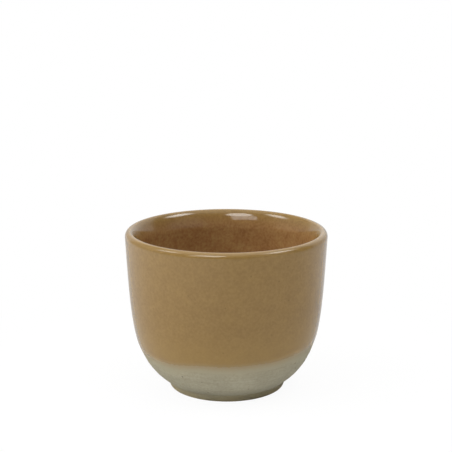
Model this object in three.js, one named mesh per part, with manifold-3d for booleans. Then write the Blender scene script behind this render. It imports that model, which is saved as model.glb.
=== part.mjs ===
// Handleless stoneware cup: a thrown clay bowl on a turned foot ring, with one glaze coat
// poured inside and another dipped over the lip and part of the way down the outside.
// Millimetres, +Z up, the origin on the table at the middle of the foot.
import * as THREE from "three";
import { mergeVertices } from "three/addons/utils/BufferGeometryUtils.js";
import Module from "manifold-3d";

// The cup as a whole, measured over the glaze
const CUP_DIAMETER = 80;
const CUP_HEIGHT = 63.5;

// The clay bowl
const CLAY_WALL = 4.8;
const WALL_LEAN = 3.1; // degrees from upright at the lip
const BELLY_LEAN = 52.8; // degrees from upright where the belly leaves the foot
const BELLY_PULL = 0.27; // reach of the belly's curve from the foot, per wall chord
const WALL_PULL = 0.61; // reach of the wall's curve from the lip, per wall chord
const FLOOR_THICKNESS = 4.8;
const WELL_ROUND = 7; // height above the floor where the inside rounds into it
const UNDERSIDE_RISE = 0.8; // hollow turned into the underside inside the foot
const UNDERSIDE_SLOPE = 3; // width of the slope between the foot and that hollow

// The lip, round outside and thinned from the inside
const LIP_WIDTH = 1.65; // from the outside edge in to the top
const LIP_HEIGHT = 2; // from the outside edge up to the top
const LIP_ROLL = 1.2; // reach of the top's curve towards the inside
const LIP_TAPER = 7.5; // depth over which the inside opens towards the lip
const TAPER_PULL = 0.45; // reach of the taper's curve up the wall, per depth

// The foot ring
const FOOT_HEIGHT = 3.2;
const FOOT_TOP_DIAMETER = 48.1;
const FOOT_BASE_DIAMETER = 45.8;
const FOOT_INSET = 0.5; // how far the ring's top stands in from the belly's lower edge
const FOOT_RING_WIDTH = 4; // across its base
const FOOT_INNER_DRAFT = 0.8; // how much narrower the opening is at the top
const FOOT_EDGE = 0.45; // reach of the round on both edges of the base

// The glaze coats
const GLAZE_THICKNESS = 0.3;
const DIP_LINE_HEIGHT = 18.5; // on the cup's axis
const DIP_LINE_TILT = 2.7; // degrees, the line climbs towards +X

// How finely the round shapes are divided
const SEGMENTS = 64;
const WALL_STEPS = 16;
const LIP_STEPS = 5;
const TAPER_STEPS = 6;
const INNER_STEPS = 9;
const ROUND_STEPS = 5;
const EDGE_STEPS = 3;
const MERGE_TOLERANCE = 1e-4;

const OCHRE = new THREE.Color(0x8f7549);
const CLAY = new THREE.Color(0x9c957c);

const point = (r, z) => new THREE.Vector2(r, z);
const { degToRad: radians, lerp } = THREE.MathUtils;
const steps = (count) => Array.from({ length: count + 1 }, (_, i) => i / count);
// Direction at an angle from upright, leaning outwards
const leaning = (degrees) => point(Math.sin(radians(degrees)), Math.cos(radians(degrees)));

// A place on the clay, with the normal that the glaze is laid on along. Every curve runs
// from the foot up the outside, over the lip and down the inside, so clay is on its left.
function station(curve, t) {
  const tangent = curve.getTangent(t);
  return { at: curve.getPoint(t), normal: point(tangent.y, -tangent.x) };
}
const onClay = ({ at }) => at;
const onGlaze = ({ at, normal }) => at.clone().addScaledVector(normal, GLAZE_THICKNESS);

// The lip's outside edge: part of an ellipse, from along the wall to level at the top
const lipTop = point(CUP_DIAMETER / 2 - GLAZE_THICKNESS - LIP_WIDTH, CUP_HEIGHT - GLAZE_THICKNESS);
const lipStart = -Math.atan((Math.tan(radians(WALL_LEAN)) * LIP_HEIGHT) / LIP_WIDTH);
const lipEdge = new THREE.EllipseCurve(
  lipTop.x,
  lipTop.y - LIP_HEIGHT,
  LIP_WIDTH,
  LIP_HEIGHT,
  lipStart,
  Math.PI / 2,
);

// Outside of the wall, one curve from the belly's lower edge to the lip
const bellyEdge = point(FOOT_TOP_DIAMETER / 2 + FOOT_INSET, FOOT_HEIGHT);
const wallTop = lipEdge.getPoint(0);
const chord = wallTop.distanceTo(bellyEdge);
const wallCurve = new THREE.CubicBezierCurve(
  bellyEdge,
  bellyEdge.clone().addScaledVector(leaning(BELLY_LEAN), BELLY_PULL * chord),
  wallTop.clone().addScaledVector(leaning(WALL_LEAN), -WALL_PULL * chord),
  wallTop,
);
const outerWall = steps(WALL_STEPS).map((t) => station(wallCurve, t));

// Inside of the wall, one clay wall in from the outside
function innerWallStation(t) {
  const { at, normal } = station(wallCurve, t);
  return {
    at: at.clone().addScaledVector(normal, -CLAY_WALL),
    normal: normal.clone().negate(),
  };
}
// Where along the wall's curve the inside passes a height
function wallParameterAt(height) {
  let [low, high] = [0, 1];
  for (let i = 0; i < 40; i += 1) {
    const middle = (low + high) / 2;
    if (innerWallStation(middle).at.y < height) low = middle;
    else high = middle;
  }
  return high;
}
const floorHeight = FOOT_HEIGHT + FLOOR_THICKNESS;
const taperEnd = wallParameterAt(CUP_HEIGHT - GLAZE_THICKNESS - LIP_TAPER);
const roundStart = wallParameterAt(floorHeight + WELL_ROUND);
const innerWall = steps(INNER_STEPS).map((s) => innerWallStation(lerp(taperEnd, roundStart, s)));

// The lip: its outside edge, then a long curve down to the inside of the wall
const { at: taperFoot, normal: taperNormal } = innerWall[0];
const upInside = point(taperNormal.y, -taperNormal.x);
const lipTaper = new THREE.CubicBezierCurve(
  lipTop,
  point(lipTop.x - LIP_ROLL, lipTop.y),
  taperFoot.clone().addScaledVector(upInside, TAPER_PULL * LIP_TAPER),
  taperFoot,
);
const lip = [
  ...steps(LIP_STEPS).slice(1).map((t) => station(lipEdge, t)),
  ...steps(TAPER_STEPS).slice(1, -1).map((t) => station(lipTaper, t)),
];

// The round at the bottom of the inside, and the flat floor
const { at: roundTop, normal: roundNormal } = innerWall[INNER_STEPS];
const fall = (floorHeight - roundTop.y) / roundNormal.x;
const corner = point(roundTop.x - fall * roundNormal.y, floorHeight);
const roundEnd = point(corner.x - corner.distanceTo(roundTop), floorHeight);
const roundCurve = new THREE.QuadraticBezierCurve(roundTop, corner, roundEnd);
const well = [
  ...steps(ROUND_STEPS).slice(1).map((t) => station(roundCurve, t)),
  { at: point(0, floorHeight), normal: point(0, 1) },
];

// Revolves a profile about the cup's axis
function revolve(profile) {
  return new THREE.LatheGeometry(profile, SEGMENTS).rotateX(Math.PI / 2);
}

// A coat of glaze: back along the clay, then along its own skin
function coatProfile(stations) {
  return [...stations.map(onClay).reverse(), ...stations.map(onGlaze)];
}

const wasm = await Module();
wasm.setup();

function toSolid(geometry) {
  const bare = geometry.clone();
  bare.deleteAttribute("normal");
  bare.deleteAttribute("uv");
  const merged = mergeVertices(bare, MERGE_TOLERANCE);
  return new wasm.Manifold(
    new wasm.Mesh({
      numProp: 3,
      vertProperties: merged.attributes.position.array,
      triVerts: new Uint32Array(merged.index.array),
    }),
  );
}

function toGeometry(solid) {
  const { vertProperties, triVerts } = solid.getMesh();
  return new THREE.BufferGeometry()
    .setAttribute("position", new THREE.BufferAttribute(vertProperties, 3))
    .setIndex(new THREE.BufferAttribute(triVerts, 1));
}

// The clay bowl: underside, outside, lip, inside and floor
function stonewareBody() {
  const ringOpening = FOOT_BASE_DIAMETER / 2 - FOOT_RING_WIDTH - FOOT_INNER_DRAFT;
  return revolve([
    point(0, FOOT_HEIGHT + UNDERSIDE_RISE),
    point(ringOpening - UNDERSIDE_SLOPE, FOOT_HEIGHT + UNDERSIDE_RISE),
    point(ringOpening, FOOT_HEIGHT),
    ...[...outerWall, ...lip, ...innerWall, ...well].map(onClay),
  ]);
}

// A rounded corner of the foot's base, between the base and a side that rises from it
function baseEdge(radius, sideTop, inwards) {
  const corner = point(radius, 0);
  const onBase = point(radius + inwards * FOOT_EDGE, 0);
  const onSide = corner.clone().lerp(sideTop, FOOT_EDGE / FOOT_HEIGHT);
  return new THREE.QuadraticBezierCurve(onBase, corner, onSide).getPoints(EDGE_STEPS);
}

// The ring that the cup stands on, seated flat against the bowl's underside
function footRing() {
  const baseOuter = FOOT_BASE_DIAMETER / 2;
  const baseInner = baseOuter - FOOT_RING_WIDTH;
  const openingTop = point(baseInner - FOOT_INNER_DRAFT, FOOT_HEIGHT);
  const sideTop = point(FOOT_TOP_DIAMETER / 2, FOOT_HEIGHT);
  const profile = [
    openingTop,
    ...baseEdge(baseInner, openingTop, 1).reverse(),
    ...baseEdge(baseOuter, sideTop, -1),
    sideTop,
  ];
  return revolve([...profile, profile[0]]);
}

// The coat poured into the bowl, from below the lip's taper to the middle of the floor
function linerGlaze() {
  return revolve(coatProfile([...innerWall, ...well]));
}

// The coat dipped over the lip and down the outside, cut off along the tilted dip line
function dipGlaze() {
  const lineDrop = (CUP_DIAMETER / 2) * Math.tan(radians(DIP_LINE_TILT));
  const lowest = DIP_LINE_HEIGHT - lineDrop;
  const first = outerWall.findLastIndex(({ at }) => at.y < lowest);
  const profile = coatProfile([...outerWall.slice(Math.max(first, 0)), ...lip, innerWall[0]]);
  const coat = toSolid(revolve([...profile, profile[0]]));

  const below = new THREE.BoxGeometry(2 * CUP_DIAMETER, 2 * CUP_DIAMETER, CUP_HEIGHT)
    .translate(0, 0, -CUP_HEIGHT / 2)
    .rotateY(-radians(DIP_LINE_TILT))
    .translate(0, 0, DIP_LINE_HEIGHT);
  return toGeometry(coat.subtract(toSolid(below)));
}

function piece(name, geometry, color, roughness) {
  const material = new THREE.MeshStandardMaterial({ color, roughness, metalness: 0 });
  const mesh = new THREE.Mesh(geometry, material);
  mesh.name = name;
  return mesh;
}

const cup = new THREE.Group();
cup.add(
  piece("stoneware_body", stonewareBody(), CLAY, 0.85),
  piece("foot_ring", footRing(), CLAY, 0.85),
  piece("liner_glaze", linerGlaze(), OCHRE, 0.2),
  piece("dip_glaze", dipGlaze(), OCHRE, 0.2),
);

export default cup;
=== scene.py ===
"""Handleless stoneware cup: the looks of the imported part.

A thrown clay bowl on a turned foot ring, with a glossy ochre-brown glaze poured inside
and dipped over the lip, down to a slightly tilted dip line on the outside.

Sizes in the classes are millimetres and degrees. Meshes are written in metres, +Z up,
in the part's own frame. Azimuth 0 is the front (-Y) and grows towards the right (+X).
"""

from __future__ import annotations

import logging
import math
from dataclasses import dataclass
from enum import Enum
from typing import Any, Mapping, Optional, Sequence

import bpy
import numpy as np
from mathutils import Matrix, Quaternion, Vector
from numpy.typing import NDArray

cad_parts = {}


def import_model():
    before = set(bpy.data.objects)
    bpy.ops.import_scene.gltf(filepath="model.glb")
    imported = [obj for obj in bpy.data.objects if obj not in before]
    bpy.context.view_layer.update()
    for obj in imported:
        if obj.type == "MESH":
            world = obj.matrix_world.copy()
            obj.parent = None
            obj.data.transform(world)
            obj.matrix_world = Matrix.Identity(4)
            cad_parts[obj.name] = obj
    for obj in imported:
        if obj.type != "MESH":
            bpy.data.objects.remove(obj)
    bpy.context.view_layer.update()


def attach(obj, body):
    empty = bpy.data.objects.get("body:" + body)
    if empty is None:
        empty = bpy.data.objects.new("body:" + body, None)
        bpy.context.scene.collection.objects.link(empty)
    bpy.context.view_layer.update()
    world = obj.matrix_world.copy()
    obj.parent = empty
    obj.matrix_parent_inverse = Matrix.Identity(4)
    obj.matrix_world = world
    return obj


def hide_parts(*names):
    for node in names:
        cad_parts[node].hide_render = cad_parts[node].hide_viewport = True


Array = NDArray[np.float64]
Colour = tuple[float, float, float, float]
Tree = bpy.types.NodeTree
Socket = bpy.types.NodeSocket

LOG = logging.getLogger("cup")
MM = 0.001
COLUMNS = 192
BODY = "root"
ABOVE_LINE = "above_dip_line"
POOLED_AND_PAINTED_LIGHT = "pooled_glaze_and_painted_light"
FLASHED = "flashed_clay"
FOLD_ANGLE = math.radians(50)
IMAGE_PIXELS = 452
WHITE: Colour = (1.0, 1.0, 1.0, 1.0)
# Noise keeps mostly within this span, which is spread over a finish's two tones.
NOISE_SPAN = (0.36, 0.64)
NOISE_DETAIL = 2.0
SMOOTH = {"interpolation_type": "SMOOTHSTEP"}


class Ends(Enum):
    """How a turned surface closes: on the axis at both ends, or on itself."""

    POLES = "poles"
    LOOP = "loop"


class Coat(Enum):
    """How a glaze coat was put on."""

    POURED = "poured"
    DIPPED = "dipped"


class Role(Enum):
    """What a lamp does: it lights the cup, or it only shows in the cup's gloss."""

    FILL = "fill"
    SHINE = "shine"


# In metres. The lamps for the gloss stand nearer than the others, because a lamp in the
# plane of another is lost where the two overlap.
LAMP_DISTANCE = {Role.FILL: 2.4, Role.SHINE: 2.0}


def bezier(control: list[tuple[float, float]], t: Array) -> Array:
    """Points of a Bezier curve: the sum of its control points by Bernstein weights.

    Args:
        control: the control points, each radius and height.
        t: the parameters, from 0 to 1.

    Returns:
        One point per parameter.
    """
    degree = len(control) - 1
    weights = [
        math.comb(degree, k) * (1 - t) ** (degree - k) * t**k for k in range(degree + 1)
    ]
    return np.stack(weights, axis=1) @ np.array(control)


def side_normals(points: Array, along: Array) -> Array:
    """Unit normals on the right of a section's direction of travel.

    Args:
        points: the section's points, in order.
        along: the distance along the section at each point.

    Returns:
        One normal per point, the tangent (a, b) turned to (b, -a).
    """
    tangent = np.gradient(points, along, axis=0)
    normal = np.stack([tangent[:, 1], -tangent[:, 0]], axis=1)
    return normal / np.linalg.norm(normal, axis=1, keepdims=True)


def lengths_along(points: Array) -> Array:
    """Distance from the first point to each point, along the section."""
    hops = np.linalg.norm(np.diff(points, axis=0), axis=1)
    return np.concatenate([[0.0], np.cumsum(hops)])


def turn(radius: Array, height: Array) -> Array:
    """Carries sections round the axis: x is r sin(azimuth), y is -r cos(azimuth).

    Args:
        radius: radii, one row per station, one column per azimuth or just one.
        height: heights, shaped as the radii.

    Returns:
        Points, one row per station and one column per azimuth.
    """
    azimuth = azimuths()
    radius, height = np.broadcast_arrays(radius, height)
    shape = (radius.shape[0], COLUMNS)
    radius, height = np.broadcast_to(radius, shape), np.broadcast_to(height, shape)
    return np.stack([radius * np.sin(azimuth), -radius * np.cos(azimuth), height], axis=2)


def azimuths() -> Array:
    """The azimuth of each column, in radians, once round."""
    return np.arange(COLUMNS) * (2 * math.pi / COLUMNS)


def vertex_order(grid: Array, ends: Ends) -> Array:
    """Lays a grid out as vertices: every row, or the inner rows and then the two poles."""
    if ends is Ends.LOOP:
        return grid.reshape(-1, *grid.shape[2:])
    inner = grid[1:-1].reshape(-1, *grid.shape[2:])
    return np.concatenate([inner, grid[:1, 0], grid[-1:, 0]])


def make_piece(
    name: str, grid: Array, ends: Ends, attributes: Optional[Mapping[str, Array]] = None
) -> bpy.types.Object:
    """Makes a closed, smooth piece from a grid that wraps round the axis.

    Faces join each grid point to the next column and the next row. With poles, the first
    and last rows lie on the axis and become one vertex each. As a loop, the last row joins
    the first.

    Args:
        name: the piece's name.
        grid: points in millimetres, rows by columns by three.
        ends: how the rows close.
        attributes: named values at each grid point, for the finish to read.

    Returns:
        The new object, at the origin.
    """
    rows = grid.shape[0] - (2 if ends is Ends.POLES else 0)
    index = np.arange(rows * COLUMNS).reshape(rows, COLUMNS)
    upper = np.roll(index, -1, axis=0) if ends is Ends.LOOP else index[1:]
    lower = index if ends is Ends.LOOP else index[:-1]
    quads = np.stack(
        [lower, np.roll(lower, -1, axis=1), np.roll(upper, -1, axis=1), upper], axis=2
    )
    faces: list[list[int]] = quads.reshape(-1, 4).tolist()
    if ends is Ends.POLES:
        first, last = np.full(COLUMNS, rows * COLUMNS), np.full(COLUMNS, rows * COLUMNS + 1)
        start, end = index[0], index[-1]
        faces += np.stack([first, np.roll(start, -1), start], axis=1).tolist()
        faces += np.stack([end, np.roll(end, -1), last], axis=1).tolist()
    mesh = bpy.data.meshes.new(name)
    mesh.from_pydata((vertex_order(grid, ends) * MM).tolist(), [], faces, shade_flat=False)
    for key, values in (attributes or {}).items():
        layer = mesh.attributes.new(key, "FLOAT", "POINT")
        layer.data.foreach_set("value", vertex_order(values, ends).astype(np.float32))
    mesh.set_sharp_from_angle(angle=FOLD_ANGLE)
    mesh.update()
    piece = bpy.data.objects.new(name, mesh)
    bpy.context.scene.collection.objects.link(piece)
    return piece


def smooth_step(value: Array, low: float, high: float) -> Array:
    """0 below the low end, 1 above the high end, and an S-shaped rise between them."""
    share = np.clip((value - low) / (high - low), 0.0, 1.0)
    return share * share * (3 - 2 * share)


@dataclass(frozen=True)
class BowlSizes:
    """Sizes of the clay bowl and its glaze, as in the part's source."""

    cup_diameter: float = 80.0
    cup_height: float = 63.5
    clay_wall: float = 4.8
    wall_lean: float = 3.1
    belly_lean: float = 52.8
    belly_pull: float = 0.27
    wall_pull: float = 0.61
    floor_thickness: float = 4.8
    well_round: float = 7.0
    underside_rise: float = 0.8
    underside_slope: float = 3.0
    lip_width: float = 1.65
    lip_height: float = 2.0
    lip_roll: float = 1.2
    lip_taper: float = 7.5
    taper_pull: float = 0.45
    foot_height: float = 3.2
    belly_edge_diameter: float = 49.1
    glaze_thickness: float = 0.3


class BowlSection:
    """The bowl's clay section, from the foot up the outside and down the inside to the axis.

    It joins six curves: the outer wall, the lip's round edge, the lip's taper, the inner
    wall one clay wall in from the outer one, the round at the bottom, and the flat floor.
    """

    SAMPLES = 400

    def __init__(self, sizes: BowlSizes) -> None:
        """Works out the section.

        Args:
            sizes: the bowl's sizes.
        """
        self.sizes = sizes
        t = np.linspace(0.0, 1.0, self.SAMPLES)
        edge = self._lip_edge(t)
        outer = self._outer_wall(edge[0], t)
        offset = outer - sizes.clay_wall * side_normals(outer, lengths_along(outer))
        floor = sizes.foot_height + sizes.floor_thickness
        clay_top = sizes.cup_height - sizes.glaze_thickness
        inner = self._between(offset, clay_top - sizes.lip_taper, floor + sizes.well_round)
        taper = self._taper(edge[-1], inner, t)
        bottom = self._bottom_round(inner, floor, t)
        flat = np.stack([bottom[-1, 0] * (1 - t), np.full_like(t, floor)], axis=1)
        curves = [outer, edge, taper, inner, bottom, flat]
        points = np.concatenate([curves[0], *(curve[1:] for curve in curves[1:])])
        self.along = lengths_along(points)
        self.points = points
        self.normals = side_normals(points, self.along)
        ends = np.cumsum([len(curve) - 1 for curve in curves])
        marks = self.along[ends]
        self.wall_top, self.lip_top, self.taper_end = marks[0], marks[1], marks[2]
        self.round_start, self.floor_start, self.axis = marks[3], marks[4], marks[5]
        self._outer_count = len(outer)

    def _outer_wall(self, top: Array, t: Array) -> Array:
        """The outside: one cubic curve from the belly's lower edge to the lip."""
        s = self.sizes
        foot = np.array([s.belly_edge_diameter / 2, s.foot_height])
        belly, lean = math.radians(s.belly_lean), math.radians(s.wall_lean)
        chord = float(np.linalg.norm(top - foot))
        first = foot + s.belly_pull * chord * np.array([math.sin(belly), math.cos(belly)])
        second = top - s.wall_pull * chord * np.array([math.sin(lean), math.cos(lean)])
        return bezier([tuple(foot), tuple(first), tuple(second), tuple(top)], t)

    def _lip_edge(self, t: Array) -> Array:
        """The lip's outside edge: part of an ellipse, from along the wall to level."""
        s = self.sizes
        radii = np.array([s.lip_width, s.lip_height])
        outermost = np.array([s.cup_diameter / 2, s.cup_height]) - s.glaze_thickness
        first = -math.atan(math.tan(math.radians(s.wall_lean)) * s.lip_height / s.lip_width)
        angle = first + t * (math.pi / 2 - first)
        return outermost - radii + radii * np.stack([np.cos(angle), np.sin(angle)], axis=1)

    @staticmethod
    def _between(wall: Array, high: float, low: float) -> Array:
        """The part of an upward wall between two heights, evenly spaced and downwards."""
        height = np.linspace(high, low, BowlSection.SAMPLES)
        return np.stack([np.interp(height, wall[:, 1], wall[:, 0]), height], axis=1)

    def _taper(self, lip_top: Array, inner: Array, t: Array) -> Array:
        """The lip's inside: a cubic curve, level at the top and along the wall below."""
        s = self.sizes
        up = inner[0] - inner[1]
        up = up / np.linalg.norm(up)
        third = inner[0] + s.taper_pull * s.lip_taper * up
        second = lip_top - np.array([s.lip_roll, 0.0])
        return bezier([tuple(lip_top), tuple(second), tuple(third), tuple(inner[0])], t)

    @staticmethod
    def _bottom_round(inner: Array, floor: float, t: Array) -> Array:
        """The bottom round: a quadratic curve with equal legs on wall and floor."""
        start, down = inner[-1], inner[-1] - inner[-2]
        corner = start + down * (floor - start[1]) / down[1]
        leg = float(np.linalg.norm(corner - start))
        return bezier([tuple(start), tuple(corner), (corner[0] - leg, floor)], t)

    def at(self, along: Array, lift: Array | float = 0.0) -> tuple[Array, Array]:
        """Points of the section, lifted off the clay along its normal.

        Args:
            along: distances along the section.
            lift: how far off the clay, positive outwards.

        Returns:
            The radii and the heights, shaped as the distances.
        """
        value = [
            np.interp(along, self.along, column)
            for column in (*self.points.T, *self.normals.T)
        ]
        return value[0] + lift * value[2], value[1] + lift * value[3]

    def outside_at_height(self, height: Array) -> Array:
        """Distance along the section at which the outside passes each height."""
        count = self._outer_count
        return np.interp(height, self.points[:count, 1], self.along[:count])


@dataclass(frozen=True)
class DipLine:
    """The edge of the dipped coat: a tilted plane with a slow wobble from a hand's dip.

    Its height is the middle height, plus the tilt across the cup, plus a few sine waves of
    the azimuth, each given as its waves per turn, its size and its phase. The line is where
    the coat has half its thickness. The eye sees it about a millimetre higher, where the
    thin coat starts to let the clay through.
    """

    height: float = 17.9
    tilt: float = 2.7
    radius: float = 35.5
    waves: tuple[tuple[int, float, float], ...] = (
        (3, 0.12, 143.0),
        (5, 0.25, 140.0),
        (8, 0.10, -140.0),
        (11, 0.11, -81.0),
    )

    def heights(self, azimuth: Array) -> Array:
        """The line's height at each azimuth."""
        rise = self.radius * math.tan(math.radians(self.tilt)) * np.sin(azimuth)
        wobble = [
            size * np.sin(count * azimuth + math.radians(phase))
            for count, size, phase in self.waves
        ]
        return self.height + rise + np.sum(wobble, axis=0)


@dataclass(frozen=True)
class TurningMarks:
    """Shallow rings that a turning tool leaves in leather-hard clay.

    The depth is a sum of sine waves of the height, each with its pitch, size and phase. A
    slow wave of the azimuth, which lags with the height, makes them fade in and out round
    the cup.
    """

    waves: tuple[tuple[float, float, float], ...] = (
        (1.15, 0.014, 0.4),
        (1.90, 0.018, 2.1),
        (4.30, 0.020, 4.0),
    )
    fade: float = 0.35
    fades_per_turn: int = 2
    fade_lag: float = 0.3

    def depth(self, height: Array, azimuth: Array) -> Array:
        """Lift of the clay off its true section, in millimetres."""
        rings = [
            size * np.sin(2 * math.pi * height / pitch + phase)
            for pitch, size, phase in self.waves
        ]
        fading = np.sin(self.fades_per_turn * azimuth + self.fade_lag * height)
        return np.sum(rings, axis=0) * (1 + self.fade * fading)


@dataclass(frozen=True)
class FootRing:
    """The turned ring that the cup stands on, seated under the bowl, a little off centre."""

    height: float = 3.2
    top_diameter: float = 48.1
    base_diameter: float = 45.8
    width: float = 4.0
    inner_draft: float = 0.8
    edge: float = 0.45
    off_centre: float = 0.25
    flash_span: tuple[float, float] = (0.5, 4.5)
    round_rows: int = 9
    side_rows: int = 14
    name: str = "turned_foot"

    @property
    def opening(self) -> float:
        """Radius of the ring's opening where it meets the bowl."""
        return self.base_diameter / 2 - self.width - self.inner_draft

    def build(self) -> bpy.types.Object:
        """Turns the ring's section, a slanted block with softened base edges.

        Returns:
            The ring, with the share of kiln flashing towards its base on its points.
        """
        base, top = self.base_diameter / 2, self.top_diameter / 2
        corners = [
            (self.opening, self.height, 0.0),
            (base - self.width, 0.0, self.edge),
            (base, 0.0, self.edge),
            (top, self.height, 0.0),
        ]
        section = self._soften(np.array(corners))
        grid = turn(section[:, :1], section[:, 1:]) + np.array([self.off_centre, 0.0, 0.0])
        flashed = 1.0 - smooth_step(grid[..., 2], *self.flash_span)
        return make_piece(self.name, grid, Ends.LOOP, {FLASHED: flashed})

    def _soften(self, corners: Array) -> Array:
        """Rounds a closed outline: each corner is a quadratic curve between its two legs.

        Args:
            corners: radius, height and reach of each corner's round.

        Returns:
            The outline's points.
        """
        t = np.linspace(0.0, 1.0, self.round_rows)
        outline = []
        for k, (radius, height, reach) in enumerate(corners):
            here = np.array([radius, height])
            legs = [corners[k - 1, :2] - here, corners[(k + 1) % len(corners), :2] - here]
            start, end = (here + reach * leg / np.linalg.norm(leg) for leg in legs)
            rounded = bezier([tuple(start), tuple(here), tuple(end)], t)
            outline.append(rounded if reach else rounded[:1])
        following = outline[1:] + outline[:1]
        sides = [
            np.linspace(one[-1], two[0], self.side_rows)[1:-1]
            for one, two in zip(outline, following)
        ]
        return np.concatenate([part for pair in zip(outline, sides) for part in pair])


@dataclass(frozen=True)
class StonewareBody:
    """The thrown bowl: underside, outside, lip, inside and floor, in bare clay."""

    section: BowlSection
    foot: FootRing
    line: DipLine
    marks: TurningMarks
    bare_top: float = 24.0
    marks_fade: float = 1.0
    flash_width: float = 4.5
    flash_share: float = 0.35
    bare_step: float = 0.25
    covered_rows: int = 18
    lip_rows: int = 26
    inside_rows: int = 34
    hollow_rows: int = 12
    slope_rows: int = 14
    name: str = "stoneware_bowl"

    def build(self) -> bpy.types.Object:
        """Turns the section, with rings on the part that no glaze covers.

        Returns:
            The bowl, with the share of kiln flashing near the dip line on its points.
        """
        radius, height = self._underside()
        under = turn(radius[:, None], height[:, None])
        along = self._stations()[:, None]
        lift = self.marks.depth(self.section.at(along)[1], azimuths())
        shown = np.clip(along / self.marks_fade, 0.0, 1.0) * (along < self._bare_end())
        wall = turn(*self.section.at(along, lift * shown))
        line = self.section.outside_at_height(self.line.heights(azimuths()))
        flashed = self.flash_share * np.exp(-(((along - line) / self.flash_width) ** 2))
        flashed = np.concatenate([np.zeros(under.shape[:2]), flashed])
        grid = np.concatenate([under, wall])
        return make_piece(self.name, grid, Ends.POLES, {FLASHED: flashed})

    def _bare_end(self) -> float:
        """Distance along the section past which the coats always cover the clay."""
        return float(self.section.outside_at_height(np.array(self.bare_top)))

    def _stations(self) -> Array:
        """Rows: close together on the bare clay, wider apart under the glaze."""
        s = self.section
        bare = np.arange(0.0, self._bare_end(), self.bare_step)
        covered = np.linspace(self._bare_end(), s.wall_top, self.covered_rows)
        lip = np.linspace(s.wall_top, s.taper_end, self.lip_rows)[1:]
        inside = np.linspace(s.taper_end, s.floor_start, self.inside_rows)[1:]
        return np.concatenate([bare, covered, lip, inside, [s.axis]])

    def _underside(self) -> tuple[Array, Array]:
        """The hollow turned into the underside: flat, then an S-shaped slope to the seat.

        Returns:
            Radii and heights, from the axis to the foot.
        """
        s = self.section.sizes
        flat = np.linspace(0.0, self.foot.opening - s.underside_slope, self.hollow_rows)
        slope = np.linspace(flat[-1], self.foot.opening, self.slope_rows)[1:]
        fall = s.underside_rise * smooth_step(slope, flat[-1], self.foot.opening)
        rise = np.concatenate([np.full_like(flat, s.underside_rise), s.underside_rise - fall])
        return np.concatenate([flat, slope]), s.foot_height + rise


@dataclass(frozen=True)
class LinerGlaze:
    """The coat poured into the bowl, from below the lip's taper to the middle of the floor.

    Its rows stand closer where it meets the dipped coat, at the seam.
    """

    section: BowlSection
    thickness: float = 0.28
    seam_rows: tuple[float, ...] = (0.0, 0.1, 0.3, 0.6, 1.0, 1.5)
    wall_rows: int = 44
    round_rows: int = 26
    floor_rows: int = 14
    clay_rows: int = 40
    name: str = "poured_glaze"

    def build(self) -> bpy.types.Object:
        """Turns the coat: out along the clay, then back along its own skin.

        Returns:
            The coat.
        """
        s = self.section
        near_seam = s.taper_end + np.array(self.seam_rows)
        wall = np.linspace(near_seam[-1], s.round_start, self.wall_rows)[1:]
        bottom = np.linspace(s.round_start, s.floor_start, self.round_rows)[1:]
        floor = np.linspace(s.floor_start, s.axis, self.floor_rows)[1:]
        skin = np.concatenate([near_seam, wall, bottom, floor])[:, None]
        clay = np.linspace(s.axis, s.taper_end, self.clay_rows)[:, None]
        grid = np.concatenate([turn(*s.at(clay)), turn(*s.at(skin, self.thickness))])
        return make_piece(self.name, grid, Ends.POLES)


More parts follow.
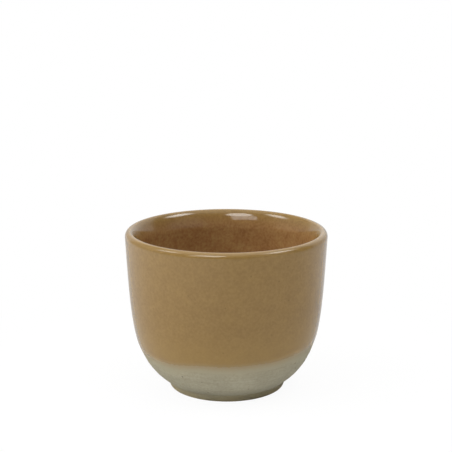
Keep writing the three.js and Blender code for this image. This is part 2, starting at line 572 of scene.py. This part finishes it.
@dataclass(frozen=True)
class DipGlaze:
    """The coat dipped over the lip and down the outside to the dip line.

    Its rows stand closer at the dip line, round the lip and where it meets the poured coat,
    at the seam. The throwing rings fade over a span above the dip line and over another
    below the lip.
    """

    section: BowlSection
    line: DipLine
    thickness: float = 0.28
    edge_width: float = 6.0
    bead: float = 0.02
    bead_height: float = 4.0
    bead_width: float = 1.6
    ring_pitch: float = 5.5
    ring_depth: float = 0.007
    ring_start: tuple[float, float] = (1.0, 6.0)
    ring_end: tuple[float, float] = (8.0, 2.0)
    # How far above the taper's end the inside's tone, pooled glaze and painted light, is full.
    inside_tone_end: float = 0.5
    edge_rows: int = 19
    edge_crowding: float = 1.5
    edge_gap: float = 0.6
    wall_rows: int = 58
    lip_rows: int = 20
    taper_rows: int = 40
    seam_rows: tuple[float, ...] = (1.2, 0.8, 0.5, 0.25, 0.1, 0.0)
    clay_rows: int = 44
    name: str = "dipped_glaze"

    def coat(self, above: Array) -> Array:
        """Thickness of the coat at a distance above the dip line.

        It rises from the clay in an S-shaped slope across the line, and swells into a faint
        bead where the glaze gathered before it set.

        Args:
            above: distance above the line, along the clay.

        Returns:
            The thickness.
        """
        bead = self.bead * np.exp(-(((above - self.bead_height) / self.bead_width) ** 2))
        half = self.edge_width / 2
        return (self.thickness + bead) * smooth_step(above, -half, half)

    def throwing_rings(self, along: Array, line: Array) -> Array:
        """Soft spiral of the thrower's fingers: a sine wave of height and azimuth.

        Args:
            along: distances along the section.
            line: the same at the dip line.

        Returns:
            The lift that it adds, none near the dip line and the lip.
        """
        s = self.section
        turns = along / self.ring_pitch + azimuths() / (2 * math.pi)
        low, high = (s.wall_top - below for below in self.ring_end)
        shown = smooth_step(along - line, *self.ring_start)
        shown = shown * (1 - smooth_step(along, low, high))
        return self.ring_depth * shown * np.sin(2 * math.pi * turns)

    def build(self) -> bpy.types.Object:
        """Turns the coat, with its lower edge along the dip line.

        Returns:
            The coat, with the distance above the dip line and the share of the inside's
            tone, pooled glaze and painted light, inside the lip on its points.
        """
        s = self.section
        line = s.outside_at_height(self.line.heights(azimuths()))[None, :]
        start = line - self.edge_width / 2
        skin = self._skin_stations(start)
        lift = self.coat(skin - line) + self.throwing_rings(skin, line)
        share = np.linspace(0.0, 1.0, self.clay_rows)[:, None]
        clay = s.taper_end + share * (start - s.taper_end)
        grid = np.concatenate([turn(*s.at(clay)), turn(*s.at(skin, lift))[1:]])
        along = np.concatenate([clay, skin[1:]])
        values = {
            ABOVE_LINE: along - line,
            POOLED_AND_PAINTED_LIGHT: smooth_step(along, s.lip_top, s.taper_end - self.inside_tone_end),
        }
        return make_piece(self.name, grid, Ends.LOOP, values)

    def _skin_stations(self, start: Array) -> Array:
        """Rows of the skin: close at the dip line, even up the wall, close round the lip."""
        s = self.section
        near = self.edge_width * np.linspace(0.0, 1.0, self.edge_rows) ** self.edge_crowding
        foot = start + self.edge_width + self.edge_gap
        wall = foot + np.linspace(0.0, 1.0, self.wall_rows)[:, None] * (s.wall_top - foot)
        lip = np.linspace(s.wall_top, s.lip_top, self.lip_rows)[1:]
        near_seam = s.taper_end - np.array(self.seam_rows)
        taper = np.linspace(s.lip_top, near_seam[0], self.taper_rows)[1:-1]
        upper = np.concatenate([lip, taper, near_seam])[:, None]
        upper = np.broadcast_to(upper, (len(upper), COLUMNS))
        return np.concatenate([start + near[:, None], wall, upper])


def linear(code: str) -> Colour:
    """Turns an sRGB hex colour to linear, opaque."""
    value = [int(code[k : k + 2], 16) / 255 for k in (0, 2, 4)]
    red, green, blue = (
        v / 12.92 if v <= 0.04045 else ((v + 0.055) / 1.055) ** 2.4 for v in value
    )
    return red, green, blue, 1.0


def add_node(
    tree: Tree, kind: str, inputs: Mapping[Any, Any] | Sequence[Any] = (), **settings: Any
) -> bpy.types.Node:
    """Adds a node with its settings and links.

    A MapRange node takes, in order, a value, the span that it maps from and the span that
    it maps to. A Mix node takes its share at input 0, numbers at 2 and 3 and colours at 6
    and 7, and gives a mixed colour at output 2.

    Args:
        tree: the tree that it goes into.
        kind: the node's type, without the start that all shader nodes share.
        inputs: values, or sockets that feed them, by name or number, or listed in order.
        settings: properties of the node.

    Returns:
        The node.
    """
    node = tree.nodes.new(f"ShaderNode{kind}")
    for key, value in settings.items():
        setattr(node, key, value)
    for key, value in inputs.items() if isinstance(inputs, dict) else enumerate(inputs):
        if isinstance(value, Socket):
            tree.links.new(value, node.inputs[key])
        else:
            node.inputs[key].default_value = value
    return node


def per_metre(size_mm: float) -> float:
    """Scale of a pattern whose features are this many millimetres apart."""
    return 1.0 / (size_mm * MM)


def new_tree(name: str) -> tuple[bpy.types.Material, Tree]:
    """A new material and its emptied node tree."""
    material = bpy.data.materials.new(name)
    material.use_nodes = True
    material.node_tree.nodes.clear()
    return material, material.node_tree


@dataclass(frozen=True)
class IronSpecks:
    """Iron specks burnt out of the clay: round dots at the middles of some cells.

    A dot fades over a share of its radius on either side of its rim, and a share of the
    cells is left out.
    """

    spacing_mm: float
    radius_mm: float
    strength: float
    left_out: float
    rim_fade: float = 0.6

    def mask(self, tree: Tree, place: Socket) -> Socket:
        """How much iron shows at a place.

        Args:
            tree: the material's tree.
            place: Object coordinates.

        Returns:
            The share of iron, 0 for most cells.
        """
        cells = add_node(
            tree, "TexVoronoi", {"Vector": place, "Scale": per_metre(self.spacing_mm)}
        ).outputs
        radius = self.radius_mm / self.spacing_mm
        rim = ((1 - self.rim_fade) * radius, (1 + self.rim_fade) * radius)
        dot = add_node(
            tree, "MapRange", [cells["Distance"], *rim, self.strength, 0.0]
        ).outputs[0]
        pick = add_node(tree, "SeparateColor", [cells["Color"]]).outputs[0]
        kept = add_node(
            tree, "Math", [pick, self.left_out], operation="GREATER_THAN"
        ).outputs[0]
        return add_node(tree, "Math", [dot, kept], operation="MULTIPLY").outputs[0]


@dataclass(frozen=True)
class OchreGlaze:
    """Iron-ochre stoneware glaze, fired glossy.

    The eye sees an even warm brown with a fine mottle and tiny iron specks. The coat is
    redder, more mottled and blotched inside, where it pooled; its redness and lightness
    there are partly painted light for the light bounced round the inside. It is a little
    paler over the lip, partly where it thins and partly painted light on the lip's upturned
    top, and paler towards the dip line on the belly, partly where it ran thinner and partly
    painted light for the light that the downturned belly misses. It lets the clay through
    where it thins out at the dip line. A pair of colours is the deep tone and the pale one.
    """

    outside: tuple[str, str] = ("826638", "8C7040")
    # The inside's pair: glaze pooled there, made redder and lighter as painted light for the
    # light bounced round the inside.
    inside: tuple[str, str] = ("86603A", "A07C4F")
    # The lip's paler tone: thinned glaze and painted light on the lip's upturned top.
    lip: str = "8A6F42"
    # The paler tone towards the dip line: thinner glaze and painted light for the light that
    # the downturned belly misses.
    drained_painted_light: str = "917540"
    iron: str = "5F4626"
    clay: str = "9C947B"
    specks: IronSpecks = IronSpecks(
        spacing_mm=3.4, radius_mm=0.28, strength=0.5, left_out=0.6
    )
    mottle_mm: float = 3.6
    grain_mm: float = 1.0
    grain_share: float = 0.64
    ripple_mm: float = 9.0
    blotch_share: float = 0.3
    ripple_depth_mm: float = 0.015
    ior: float = 1.52
    roughness: tuple[float, float] = (0.05, 0.09)
    roughness_span: tuple[float, float] = (0.3, 0.7)
    dry: float = 0.75
    lip_span_mm: tuple[float, float] = (61.0, 63.4)
    lip_break: tuple[float, float] = (0.1, 0.6)
    drained_painted_light_span_mm: tuple[float, float] = (1.0, 18.0)
    drained_painted_light_share: float = 0.6
    edge_span_mm: tuple[float, float] = (-2.7, 2.7)
    edge_ragged_mm: float = 1.2

    def material(self, coat: Coat) -> bpy.types.Material:
        """Makes the glaze's material.

        Args:
            coat: how the coat was put on; a poured one has the inside's tone all over,
                pooled glaze and painted light.

        Returns:
            The material.
        """
        material, tree = new_tree(f"ochre_glaze_{coat.value}")
        place = add_node(tree, "TexCoord").outputs["Object"]
        # A real grain is finer than a pixel and would not show, so it is drawn at 1 mm.
        mottle, grain, ripple = (
            add_node(
                tree,
                "TexNoise",
                {"Vector": place, "Scale": per_metre(size), "Detail": NOISE_DETAIL},
            ).outputs["Fac"]
            for size in (self.mottle_mm, self.grain_mm, self.ripple_mm)
        )
        tone = add_node(
            tree, "Mix", {0: self.grain_share, 2: mottle, 3: grain}, data_type="FLOAT"
        ).outputs[0]
        blotched = add_node(
            tree, "Mix", {0: self.blotch_share, 2: tone, 3: ripple}, data_type="FLOAT"
        ).outputs[0]
        depths = (
            add_node(tree, "MapRange", [value, *NOISE_SPAN]).outputs[0]
            for value in (blotched, tone)
        )
        inside, outside = (
            add_node(
                tree, "Mix", {0: depth, 6: linear(deep), 7: linear(pale)}, data_type="RGBA"
            ).outputs[2]
            for depth, (deep, pale) in zip(depths, (self.inside, self.outside))
        )
        colour = inside
        layers = [(self.specks.mask(tree, place), linear(self.iron))]
        if coat is Coat.DIPPED:
            colour = outside
            # The inside's tone on the lip's taper: pooled glaze and painted light.
            pooled = add_node(tree, "Attribute", attribute_name=POOLED_AND_PAINTED_LIGHT)
            layers.insert(0, (pooled.outputs["Fac"], inside))
            # Paler lip: thinned glaze and painted light on its upturned top.
            layers.append((self._lip_thinned_and_painted_light(tree, place, mottle), linear(self.lip)))
            above = add_node(tree, "Attribute", attribute_name=ABOVE_LINE).outputs["Fac"]
            # Paler towards the dip line: thinner glaze and painted light.
            layers.append((self._drained_painted_light(tree, above), linear(self.drained_painted_light)))
            thin = self._thinned_edge(tree, above, grain)
            layers.append((thin, linear(self.clay)))
        for share, over in layers:
            colour = add_node(
                tree, "Mix", {0: share, 6: colour, 7: over}, data_type="RGBA"
            ).outputs[2]
        gloss = add_node(
            tree, "MapRange", [grain, *self.roughness_span, *self.roughness]
        ).outputs[0]
        if coat is Coat.DIPPED:
            gloss = add_node(
                tree, "Mix", {0: thin, 2: gloss, 3: self.dry}, data_type="FLOAT"
            ).outputs[0]
        bump = add_node(
            tree, "Bump", {"Height": ripple, "Distance": self.ripple_depth_mm * MM}
        ).outputs["Normal"]
        shader = add_node(
            tree,
            "BsdfPrincipled",
            {"Base Color": colour, "Roughness": gloss, "Normal": bump, "IOR": self.ior},
        ).outputs["BSDF"]
        add_node(tree, "OutputMaterial", {"Surface": shader})
        return material

    def _lip_thinned_and_painted_light(self, tree: Tree, place: Socket, mottle: Socket) -> Socket:
        """How far the lip takes its paler tone, broken up by the mottle: partly the coat
        thinned over the lip, partly painted light on the lip's upturned top.

        Args:
            tree: the material's tree.
            place: Object coordinates.
            mottle: the mottle's noise.

        Returns:
            The share of the lip's paler tone, thinned glaze and painted light.
        """
        height = add_node(tree, "SeparateXYZ", [place]).outputs["Z"]
        low, high = (end * MM for end in self.lip_span_mm)
        rise = add_node(tree, "MapRange", [height, low, high], **SMOOTH).outputs[0]
        broken = add_node(tree, "MapRange", [mottle, *self.lip_break]).outputs[0]
        return add_node(tree, "Math", [rise, broken], operation="MULTIPLY").outputs[0]

    def _drained_painted_light(self, tree: Tree, above: Socket) -> Socket:
        """How far the belly is paler towards the dip line: partly where the coat ran
        thinner, partly painted light for the light that the downturned belly misses.

        Args:
            tree: the material's tree.
            above: the distance above the dip line.

        Returns:
            The share of the paler tone, thinner glaze and painted light.
        """
        return add_node(
            tree, "MapRange", [above, *self.drained_painted_light_span_mm, self.drained_painted_light_share, 0.0], **SMOOTH
        ).outputs[0]

    def _thinned_edge(self, tree: Tree, above: Socket, grain: Socket) -> Socket:
        """How far the coat has thinned out at the dip line, its edge made ragged.

        Args:
            tree: the material's tree.
            above: the distance above the dip line.
            grain: the grain's noise.

        Returns:
            The share of clay that shows through.
        """
        ragged = add_node(
            tree, "Math", [grain, self.edge_ragged_mm, above], operation="MULTIPLY_ADD"
        ).outputs[0]
        low, high = (end + self.edge_ragged_mm / 2 for end in self.edge_span_mm)
        return add_node(tree, "MapRange", [ragged, low, high, 1.0, 0.0], **SMOOTH).outputs[0]


@dataclass(frozen=True)
class BareStoneware:
    """Unglazed stoneware, turned and fired.

    The eye sees a matt grey-beige, faintly streaked round the cup by the turning tool,
    slightly clouded, flashed a little warmer along the glaze and on the foot, with a few
    iron specks.
    """

    deep: str = "8F8973"
    pale: str = "A49E88"
    flash: str = "A69771"
    iron: str = "5C5341"
    specks: IronSpecks = IronSpecks(
        spacing_mm=3.1, radius_mm=0.32, strength=0.9, left_out=0.5
    )
    cloud_mm: float = 11.0
    grain_mm: float = 0.9
    streak_mm: float = 0.9
    streak_stretch: float = 0.04
    streak_share: float = 0.42
    grain_share: float = 0.44
    full_flash: float = 0.7
    bump_share: float = 0.5
    grain_depth_mm: float = 0.022
    roughness: float = 0.82
    ior: float = 1.5

    def material(self) -> bpy.types.Material:
        """Makes the bare clay's material.

        Returns:
            The material.
        """
        material, tree = new_tree("turned_stoneware_bare")
        place = add_node(tree, "TexCoord").outputs["Object"]
        flat = self.streak_stretch
        squeezed = add_node(
            tree, "Mapping", {"Vector": place, "Scale": (flat, flat, 1.0)}
        ).outputs[0]
        # Real grit is finer than a pixel and would not show, so the grain is drawn coarser.
        cloud, grain, streak = (
            add_node(
                tree,
                "TexNoise",
                {"Vector": where, "Scale": per_metre(size), "Detail": NOISE_DETAIL},
            ).outputs["Fac"]
            for where, size in (
                (place, self.cloud_mm),
                (place, self.grain_mm),
                (squeezed, self.streak_mm),
            )
        )
        tone = cloud
        for share, over in ((self.streak_share, streak), (self.grain_share, grain)):
            tone = add_node(
                tree, "Mix", {0: share, 2: tone, 3: over}, data_type="FLOAT"
            ).outputs[0]
        depth = add_node(tree, "MapRange", [tone, *NOISE_SPAN]).outputs[0]
        flashed = add_node(tree, "Attribute", attribute_name=FLASHED).outputs["Fac"]
        uneven = add_node(tree, "MapRange", [cloud, 0.0, self.full_flash]).outputs[0]
        flash = add_node(tree, "Math", [flashed, uneven], operation="MULTIPLY").outputs[0]
        colour: Any = linear(self.deep)
        for share, over in (
            (depth, self.pale),
            (flash, self.flash),
            (self.specks.mask(tree, place), self.iron),
        ):
            colour = add_node(
                tree, "Mix", {0: share, 6: colour, 7: linear(over)}, data_type="RGBA"
            ).outputs[2]
        rough = add_node(
            tree, "Mix", {0: self.bump_share, 2: grain, 3: streak}, data_type="FLOAT"
        ).outputs[0]
        bump = add_node(
            tree, "Bump", {"Height": rough, "Distance": self.grain_depth_mm * MM}
        ).outputs["Normal"]
        shader = add_node(
            tree,
            "BsdfPrincipled",
            {
                "Base Color": colour,
                "Roughness": self.roughness,
                "Normal": bump,
                "IOR": self.ior,
            },
        ).outputs["BSDF"]
        add_node(tree, "OutputMaterial", {"Surface": shader})
        return material


def direction(azimuth: float, elevation: float) -> Vector:
    """Unit direction from the cup at an azimuth and an elevation in degrees."""
    turned, raised = math.radians(azimuth), math.radians(elevation)
    level = math.cos(raised)
    return Vector((level * math.sin(turned), -level * math.cos(turned), math.sin(raised)))


@dataclass(frozen=True)
class Softbox:
    """A studio lamp that faces the cup: a plain rectangle, or an ellipse with a soft rim.

    Its middle, its spread and its roll are given in degrees as seen from the cup, and its
    brightness as a multiple of the white ground's. A lamp with a core under 1 fades from
    that share of its half-size to its rim.
    """

    name: str
    role: Role
    azimuth: float
    elevation: float
    spread: tuple[float, float]
    brightness: float
    roll: float = 0.0
    core: float = 1.0

    def build(self, target: Vector) -> bpy.types.Object:
        """Makes the lamp.

        Args:
            target: the point that it faces, in metres.

        Returns:
            The lamp.
        """
        distance = LAMP_DISTANCE[self.role]
        toward = direction(self.azimuth, self.elevation)
        width, height = (
            2 * distance * math.tan(math.radians(angle / 2)) for angle in self.spread
        )
        lamp = bpy.data.lights.new(self.name, "AREA")
        lamp.shape = "RECTANGLE"
        lamp.size, lamp.size_y = width, height
        lamp.energy = self.brightness * math.pi * width * height
        holder = bpy.data.objects.new(self.name, lamp)
        holder.location = target + distance * toward
        rolled = Quaternion((0.0, 0.0, 1.0), math.radians(self.roll))
        holder.rotation_euler = (toward.to_track_quat("Z", "Y") @ rolled).to_euler()
        if self.core < 1.0:
            self._soften(lamp)
        holder.visible_camera = False
        holder.visible_diffuse = self.role is Role.FILL
        holder.visible_glossy = self.role is Role.SHINE
        bpy.context.scene.collection.objects.link(holder)
        return holder

    def _soften(self, lamp: bpy.types.Light) -> None:
        """Fades the lamp with the distance from its middle, on its own parametric square.

        Args:
            lamp: the lamp.
        """
        lamp.use_nodes = True
        tree = lamp.node_tree
        tree.nodes.clear()
        place = add_node(tree, "NewGeometry").outputs["Parametric"]
        middle, half = (0.5, 0.5, 0.0), 0.5
        away = add_node(
            tree, "VectorMath", [place, middle], operation="DISTANCE"
        ).outputs["Value"]
        level = add_node(
            tree, "MapRange", [away, self.core * half, half, 1.0, 0.0], **SMOOTH
        ).outputs[0]
        glow = add_node(tree, "Emission", {"Strength": level}).outputs[0]
        add_node(tree, "OutputLight", {"Surface": glow})


@dataclass(frozen=True)
class Panel:
    """A bright part of the room round a direction, fading over a range of the cosine to it."""

    role: Role
    azimuth: float
    elevation: float
    edge: tuple[float, float]
    brightness: float

    @property
    def side(self) -> Vector:
        """Unit direction from the cup to the panel's middle."""
        return direction(self.azimuth, self.elevation)


@dataclass(frozen=True)
class Glare:
    """A part of the ground that shows brighter in gloss, growing along a way from the cup."""

    way: tuple[float, float]
    span: tuple[float, float]
    gain: float


@dataclass(frozen=True)
class Studio:
    """White ground and backdrop, softboxes in a dimmer room, and the camera."""

    lamps: tuple[Softbox, ...] = (
        Softbox("fill_left", Role.FILL, -78.0, 39.0, (50.0, 40.0), 3.85),
        Softbox("fill_front", Role.FILL, -20.0, 37.0, (40.0, 30.0), 0.95),
        Softbox("fill_right", Role.FILL, 73.0, 58.0, (50.0, 32.0), 2.7),
        Softbox(
            "shine_left", Role.SHINE, -83.5, 43.5, (34.0, 19.0), 7.3, roll=37.0, core=0.25
        ),
        Softbox("shine_front_upper", Role.SHINE, -20.5, 47.0, (35.0, 16.5), 7.4, core=0.65),
        Softbox("shine_front_lower", Role.SHINE, -26.5, 34.5, (31.0, 13.0), 3.1),
        Softbox(
            "shine_right", Role.SHINE, 82.0, 48.5, (42.0, 22.0), 10.0, roll=-28.0, core=0.2
        ),
    )
    lit_point: tuple[float, float, float] = (0.0, 0.0, 0.06)
    room: float = 0.05
    panels: tuple[Panel, ...] = (
        Panel(Role.FILL, -170.0, 0.0, (0.1, 0.5), 0.45),
        Panel(Role.FILL, 0.0, 90.0, (0.72, 0.92), 1.45),
        Panel(Role.SHINE, 168.0, 0.0, (0.46, 0.64), 0.62),
        Panel(Role.SHINE, 165.0, 45.0, (0.68, 0.9), 0.5),
        Panel(Role.SHINE, 0.0, 90.0, (0.72, 0.92), 0.9),
        Panel(Role.SHINE, -105.0, 12.0, (0.7, 0.95), 0.35),
        Panel(Role.SHINE, 56.0, 10.0, (0.82, 0.97), 0.35),
    )
    ground_size: float = 6.0
    ground_white: str = "F0F0F0"
    ground_gloss: float = 0.66
    glares: tuple[Glare, ...] = (
        Glare((-0.94, -0.34), (0.04, 0.2), 0.36),
        Glare((0.7, 0.7), (0.1, 0.17), 0.11),
    )
    shadow_share: float = 0.06
    shadow_reach: tuple[float, float] = (0.03, 0.14)
    camera_place: tuple[float, float, float] = (-0.00011, -0.44993, 0.16787)
    camera_pitch: float = 12.906
    focal_pixels: float = 1169.4
    sensor: float = 36.0
    clip: tuple[float, float] = (0.01, 20.0)

    def build(self) -> None:
        """Makes the ground, the lamps, the surrounding light and the camera."""
        self._ground()
        for lamp in self.lamps:
            lamp.build(Vector(self.lit_point))
            LOG.info("lamp %s", lamp.name)
        self._surroundings()
        self._camera()
        bpy.context.scene.view_settings.view_transform = "Standard"

    def _ground(self) -> bpy.types.Object:
        """The ground: matt white paper that keeps the cup's shadow and is white further off.

        Returns:
            The ground.
        """
        half = self.ground_size / 2
        corners = [(-half, -half, 0), (half, -half, 0), (half, half, 0), (-half, half, 0)]
        mesh = bpy.data.meshes.new("white_ground")
        mesh.from_pydata(corners, [], [(0, 1, 2, 3)])
        ground = bpy.data.objects.new("white_ground", mesh)
        bpy.context.scene.collection.objects.link(ground)
        material, tree = new_tree("matt_white_paper")
        paper = add_node(tree, "BsdfDiffuse", [linear(self.ground_white)]).outputs[0]
        path = add_node(tree, "LightPath").outputs
        place = add_node(tree, "TexCoord").outputs["Object"]
        mirrored: Any = self.ground_gloss
        for glare in self.glares:
            along = add_node(
                tree, "VectorMath", [place, (*glare.way, 0.0)], operation="DOT_PRODUCT"
            ).outputs["Value"]
            gain = add_node(
                tree, "MapRange", [along, *glare.span, 0.0, glare.gain]
            ).outputs[0]
            mirrored = add_node(tree, "Math", [gain, mirrored], operation="ADD").outputs[0]
        level = add_node(
            tree, "Mix", {0: path["Is Glossy Ray"], 2: 1.0, 3: mirrored}, data_type="FLOAT"
        ).outputs[0]
        glow = add_node(tree, "Emission", {"Color": WHITE, "Strength": level}).outputs[0]
        away = add_node(tree, "VectorMath", [place], operation="LENGTH").outputs["Value"]
        least = 1.0 - self.shadow_share
        share = add_node(
            tree, "MapRange", [away, *self.shadow_reach, least, 1.0], **SMOOTH
        ).outputs[0]
        seen = path["Is Camera Ray"]
        for other in ("Is Glossy Ray", "Is Transmission Ray"):
            seen = add_node(tree, "Math", [seen, path[other]], operation="MAXIMUM").outputs[0]
        share = add_node(tree, "Math", [share, seen], operation="MULTIPLY").outputs[0]
        surface = add_node(tree, "MixShader", [share, paper, glow]).outputs[0]
        add_node(tree, "OutputMaterial", {"Surface": surface})
        mesh.materials.append(material)
        return ground

    def _surroundings(self) -> None:
        """White for the eye, and a dim room with bright panels for the light and the gloss."""
        world = bpy.data.worlds.new("white_studio")
        bpy.context.scene.world = world
        world.use_nodes = True
        tree = world.node_tree
        tree.nodes.clear()
        levels: dict[Role, Any] = {role: self.room for role in Role}
        toward = add_node(tree, "TexCoord").outputs["Generated"]
        for panel in self.panels:
            facing = add_node(
                tree, "VectorMath", [toward, panel.side], operation="DOT_PRODUCT"
            ).outputs["Value"]
            bright = add_node(
                tree, "MapRange", [facing, *panel.edge, 0.0, panel.brightness], **SMOOTH
            ).outputs[0]
            levels[panel.role] = add_node(
                tree, "Math", [bright, levels[panel.role]], operation="ADD"
            ).outputs[0]
        path = add_node(tree, "LightPath").outputs
        strength = levels[Role.FILL]
        for ray, seen in (
            ("Is Glossy Ray", levels[Role.SHINE]),
            ("Is Transmission Ray", 1.0),
            ("Is Camera Ray", 1.0),
        ):
            strength = add_node(
                tree, "Mix", {0: path[ray], 2: strength, 3: seen}, data_type="FLOAT"
            ).outputs[0]
        white = add_node(tree, "Background", {"Color": WHITE, "Strength": strength}).outputs[0]
        add_node(tree, "OutputWorld", {"Surface": white})

    def _camera(self) -> None:
        """The camera, where the photograph was taken from."""
        lens = bpy.data.cameras.new("camera")
        lens.sensor_width = self.sensor
        lens.lens = self.focal_pixels * self.sensor / IMAGE_PIXELS
        lens.clip_start, lens.clip_end = self.clip
        camera = bpy.data.objects.new("camera", lens)
        camera.location = self.camera_place
        camera.rotation_euler = (math.radians(90.0 - self.camera_pitch), 0.0, 0.0)
        bpy.context.scene.collection.objects.link(camera)
        bpy.context.scene.camera = camera


def place_piece(
    piece: bpy.types.Object, material: bpy.types.Material, node: str
) -> None:
    """Dresses a piece and puts it in the place of its CAD node.

    Args:
        piece: the new piece.
        material: its finish.
        node: the CAD node that it stands for.
    """
    piece.data.materials.append(material)
    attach(piece, BODY)
    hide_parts(node)
    LOG.info("piece %s stands for %s, %d faces", piece.name, node, len(piece.data.polygons))


def main() -> None:
    """Builds the cup and its studio in order."""
    logging.basicConfig(level=logging.INFO, format="%(name)s: %(message)s")
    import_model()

    section = BowlSection(BowlSizes())
    line = DipLine()
    foot = FootRing()
    bowl = StonewareBody(section, foot, line, TurningMarks())
    clay = BareStoneware().material()
    glaze = OchreGlaze()
    place_piece(bowl.build(), clay, "stoneware_body")
    place_piece(foot.build(), clay, "foot_ring")
    poured = glaze.material(Coat.POURED)
    place_piece(LinerGlaze(section).build(), poured, "liner_glaze")
    dipped = glaze.material(Coat.DIPPED)
    place_piece(DipGlaze(section, line).build(), dipped, "dip_glaze")
    Studio().build()


if __name__ == "__main__":
    main()
